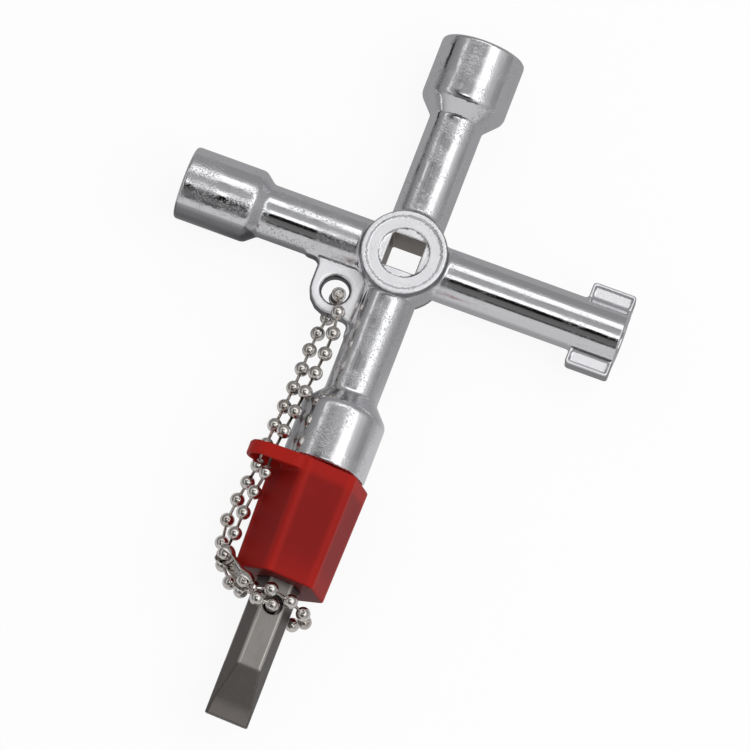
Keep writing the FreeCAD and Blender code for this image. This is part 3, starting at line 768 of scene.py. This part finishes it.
# What a mirror facing each way shows, from overhead (0) down to the horizon (1)
SIDES = {
    (-1.0, 0.0): [
        (0.0, 0.40), (0.155, 0.38), (0.22, 0.12), (0.34, 0.10), (0.39, 0.27), (0.50, 0.33),
        (0.53, 0.80), (0.58, 0.80), (0.62, 0.30), (0.90, 0.22), (0.925, 0.01), (1.0, 0.01)],
    (1.0, 0.0): [
        (0.0, 0.40), (0.13, 0.75), (0.20, 0.95), (0.25, 1.4), (0.46, 1.4), (0.53, 0.70),
        (0.67, 0.48), (0.85, 0.30), (1.0, 0.26)],
    (0.0, -1.0): [
        (0.0, 0.40), (0.03, 0.9), (0.06, 1.4), (0.19, 1.4), (0.21, 0.005), (0.34, 0.005),
        (0.38, 0.12), (0.58, 0.14), (0.64, 0.04), (0.67, 0.05), (0.71, 0.58), (1.0, 0.58)],
    (0.0, 1.0): [
        (0.0, 0.42), (0.06, 0.38), (0.25, 0.34), (0.29, 1.1), (0.47, 1.3), (0.52, 0.42),
        (0.68, 0.28), (1.0, 0.27)],
}


def lay_floor(level):
    """A pale table, white to the camera under its shadows; in the plating a painted reflection, a
    grey glow with a painted shadow by the lug.
    """
    mesh = bpy.data.meshes.new("table")
    half = TABLE_HALF
    mesh.from_pydata([(-half, -half, level), (half, -half, level), (half, half, level),
                      (-half, half, level)], [], [(0, 1, 2, 3)])
    material, finish = new_material("pale_table")
    seen = finish.add("LightPath", output="Is Camera Ray")
    mirrored = finish.add("LightPath", output="Is Glossy Ray")
    x, y, _ = finish.coordinates(finish.millimetres())
    matt = finish.add("BsdfDiffuse", {}, {"Color": TABLE})
    white = finish.add("Emission", {}, {"Color": WHITE, "Strength": 1.0})
    flat = finish.add("CombineXYZ", {}, {"X": x, "Y": y})
    from_lug = finish.add("VectorMath", {"operation": "DISTANCE"}, {0: flat, 1: LUG_SHADE}, "Value")
    # painted reflection: a grey glow for the plating, lighter toward the lower arm, with a painted
    # shadow round the lug
    painted_reflection = finish.mix(finish.rise(0 - y, 12.0, 28.0), TABLE_PAINTED_REFLECTION, TABLE_PAINTED_REFLECTION_LOW)
    painted_reflection = finish.mix(finish.fall(from_lug, 7.0, 15.0), painted_reflection, TABLE_PAINTED_LUG_SHADOW)
    grey = finish.add("Emission", {}, {"Color": painted_reflection, "Strength": 1.0})
    shown = finish.add("MixShader", {}, {0: mirrored * 0.9, 1: matt, 2: grey})
    finish.add_output(finish.add("MixShader", {}, {0: seen * 0.9, 1: shown, 2: white}))
    mesh.materials.append(material)
    floor = bpy.data.objects.new("table", mesh)
    bpy.context.scene.collection.objects.link(floor)


def light_studio():
    """Soft surroundings with a set of bands for mirrors on each side, and one soft lamp."""
    world = bpy.data.worlds.new("studio")
    bpy.context.scene.world = world
    world.use_nodes = True
    sky = Finish(world.node_tree)
    x, y, z = sky.coordinates(sky.add("TexCoord", output="Generated"))
    fall = sky.add("Math", {"operation": "ARCCOSINE"}, {0: z}) / (math.pi / 2)
    total = None
    weights = None
    for (side_x, side_y), stops in SIDES.items():
        facing = x * side_x + y * side_y
        weight = sky.add("Math", {"operation": "MAXIMUM"}, {0: facing, 1: LEAST_WEIGHT})
        weight = weight * weight * weight * weight
        share = weight * sky.add("ValToRGB", {"stops": stops}, {0: fall})
        total = share if total is None else total + share
        weights = weight if weights is None else weights + weight
    mirrored = sky.add("LightPath", output="Is Glossy Ray")
    strength = mirrored * (total / weights) + (1 - mirrored) * FILL
    background = sky.add("Background", {}, {"Color": WHITE, "Strength": strength})
    sky.add_output(background, "World")

    lamp = bpy.data.lights.new("soft_box", "AREA")
    lamp.shape = "SQUARE"
    lamp.size = LAMP_SIZE
    lamp.energy = LAMP_POWER
    holder = bpy.data.objects.new("soft_box", lamp)
    bpy.context.scene.collection.objects.link(holder)
    holder.location = LAMP_AT
    holder.rotation_mode = "QUATERNION"
    holder.rotation_quaternion = LAMP_AT.to_track_quat("Z", "Y")
    holder.visible_glossy = False


def set_camera():
    """A long lens high over the key, turned so that the upper arm leans to the right."""
    back = CAMERA_RIGHT.cross(CAMERA_UP).normalized()
    up = back.cross(CAMERA_RIGHT).normalized()
    right = up.cross(back)
    lens = bpy.data.cameras.new("camera")
    lens.sensor_width = SENSOR
    lens.lens = SENSOR * CAMERA_FAR / (PICTURE_WIDTH * MM)
    lens.clip_end = 50.0
    camera = bpy.data.objects.new("camera", lens)
    bpy.context.scene.collection.objects.link(camera)
    turn = Matrix((right, up, back)).transposed().to_4x4()
    where = PICTURE_MIDDLE * MM + back * CAMERA_FAR
    camera.matrix_world = Matrix.Translation(where) @ turn
    bpy.context.scene.camera = camera


nodes = frame["nodes"]
smooth_piece("cast_cross", nodes["cross_body"], CAST_CELL, cross_form, cast_chrome())
smooth_piece("red_holder", nodes["bit_holder"], HOLDER_CELL, holder_form, red_plastic())
smooth_piece("tool_bit", nodes["screwdriver_bit"], BIT_CELL, bit_form, bit_steel())
nickel = chain_nickel()
make_clip(nickel)
make_chain(nickel)
lay_floor(TABLE_TOP * MM)
light_studio()
set_camera()
bpy.context.scene.view_settings.view_transform = "Standard"
